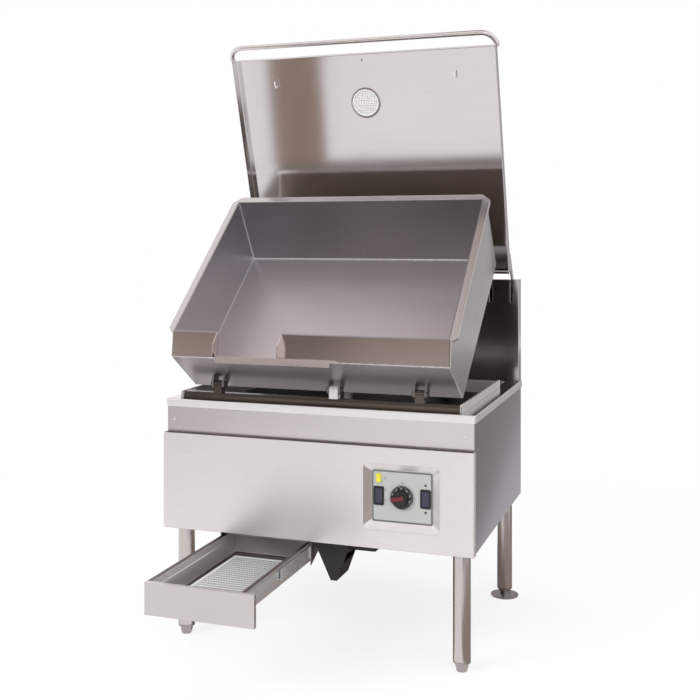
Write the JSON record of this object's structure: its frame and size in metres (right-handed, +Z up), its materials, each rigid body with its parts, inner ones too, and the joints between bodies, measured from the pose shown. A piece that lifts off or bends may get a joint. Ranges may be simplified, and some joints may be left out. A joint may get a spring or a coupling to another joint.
{
  "type": "tilting bratt pan",
  "caption": "Floor-standing tilting bratt pan: tilted pan with pouring notch, raised hinged lid, recessed controls, drip drawer and tubular legs.",
  "frame": {"origin": "middle of the object's footprint, on the floor", "axes": "+X to the right as seen from the front, +Y to the back, +Z up"},
  "size_m": [0.914, 1.147, 1.7755],
  "materials": {
    "brushed_stainless": "brushed stainless steel",
    "front_stainless": "fine brushed stainless steel, grain along the width",
    "mirror_stainless": "bright rolled stainless steel",
    "pan_stainless": "satin stainless steel with bright weld seams",
    "lid_stainless": "brushed stainless steel, grain along the depth",
    "zinc_steel": "bright zinc plate",
    "dark_steel": "dark steel",
    "black_paint": "black powder coat",
    "bright_steel": "polished steel",
    "foot_steel": "cast stainless steel",
    "element_sheath": "heat-tinted sheath",
    "black_plastic": "black moulded plastic",
    "rocker_plastic": "dark grey moulded plastic",
    "amber_lens": "yellow lens",
    "control_plate": "printed grey overlay with a dark border",
    "vent_white_metal": "satin aluminium"
  },
  "bodies": {
    "cabinet": {"deck": "front_stainless", "splash_rail_left": "brushed_stainless", "splash_rail_right": "brushed_stainless", "well_trough": "brushed_stainless", "pivot_beam": "dark_steel", "pivot_blocks": "dark_steel", "front_fascia": "front_stainless", "cabinet_screws": "bright_steel", "front_panel": "front_stainless", "side_panel_left": "brushed_stainless", "side_panel_right": "brushed_stainless", "rear_panel": "brushed_stainless", "base_frame": "dark_steel", "rear_housing": "mirror_stainless", "lid_hinge_brackets": "dark_steel", "lid_springs": "zinc_steel", "leg_front_left": "brushed_stainless", "leg_front_right": "brushed_stainless", "leg_rear_left": "brushed_stainless", "leg_rear_right": "brushed_stainless", "bullet_feet": "foot_steel", "flanged_foot_left": "foot_steel", "flanged_foot_right": "foot_steel", "control_box": "dark_steel", "control_plate": "control_plate", "pilot_light": "amber_lens", "switch_frames": "black_plastic", "thermostat_body": "black_plastic", "drawer_hangers": "dark_steel", "slide_outer_left": "zinc_steel", "slide_outer_right": "zinc_steel", "actuator_bracket": "black_paint"},
    "pan": {"pan_shell": "pan_stainless", "pan_rim": "brushed_stainless", "pan_end_left": "brushed_stainless", "pan_end_right": "brushed_stainless", "pan_casing": "brushed_stainless", "heating_elements": "element_sheath", "pour_lip": "pan_stainless", "pan_hinge_ears": "dark_steel", "pivot_pins": "dark_steel", "pan_clevis": "dark_steel"},
    "lid": {"lid_panel": "lid_stainless", "lid_handle": "brushed_stainless", "lid_vent": "vent_white_metal", "lid_hooks": "bright_steel", "lid_arms": "dark_steel"},
    "drawer": {"drawer_tray": "brushed_stainless", "drawer_front": "brushed_stainless", "drawer_strainer": "brushed_stainless", "slide_inner_left": "zinc_steel", "slide_inner_right": "zinc_steel"},
    "slide_middles": {"slide_middle_left": "zinc_steel", "slide_middle_right": "zinc_steel"},
    "actuator_tube": {"actuator_body": "black_paint", "actuator_motor": "black_paint"},
    "actuator_screw": {"actuator_rod": "bright_steel"},
    "dial": {"thermostat_dial": "black_plastic"},
    "power_switch": {"power_rocker": "rocker_plastic"},
    "tilt_switch": {"tilt_rocker": "rocker_plastic"}
  },
  "joints": [
    {"name": "pan_tilt", "type": "hinge", "parent": "cabinet", "child": "pan", "pos_m": [0, -0.1205, 0.734], "axis": [1, 0, 0], "range_deg": [-40.5, 45]},
    {"name": "lid_hinge", "type": "hinge", "parent": "cabinet", "child": "lid", "pos_m": [0, 0.5575, 0.99], "axis": [1, 0, 0], "range_deg": [0, 12]},
    {"name": "actuator_swing", "type": "hinge", "parent": "cabinet", "child": "actuator_tube", "pos_m": [0.054, -0.0805, 0.252], "axis": [1, 0, 0], "range_deg": [-2.6, 2.9]},
    {"name": "actuator_extend", "type": "slide", "parent": "actuator_tube", "child": "actuator_screw", "axis": [0, 0.1617, 0.9868], "range_m": [-0.079, 0.088]},
    {"name": "drawer_slide", "type": "slide", "parent": "cabinet", "child": "drawer", "axis": [0, 1, 0], "range_m": [0, 0.404]},
    {"name": "slide_middle", "type": "slide", "parent": "cabinet", "child": "slide_middles", "axis": [0, 1, 0], "range_m": [0, 0.203]},
    {"name": "dial_turn", "type": "hinge", "parent": "cabinet", "child": "dial", "pos_m": [0.258, -0.1665, 0.461], "axis": [0, 1, 0], "range_deg": [0, 300]},
    {"name": "power_rock", "type": "hinge", "parent": "cabinet", "child": "power_switch", "pos_m": [0.193, -0.1525, 0.461], "axis": [1, 0, 0], "range_deg": [-6, 6]},
    {"name": "tilt_rock", "type": "hinge", "parent": "cabinet", "child": "tilt_switch", "pos_m": [0.323, -0.1525, 0.461], "axis": [1, 0, 0], "range_deg": [-6, 6], "stiffness_Nm_per_rad": 0.5}
  ],
  "couplings": [
    {"joint": "actuator_swing", "follows": "pan_tilt", "ratio": 0.06},
    {"joint": "actuator_extend", "follows": "pan_tilt", "m_per_rad": 0.1087},
    {"joint": "slide_middle", "follows": "drawer_slide", "ratio": 0.5}
  ]
}
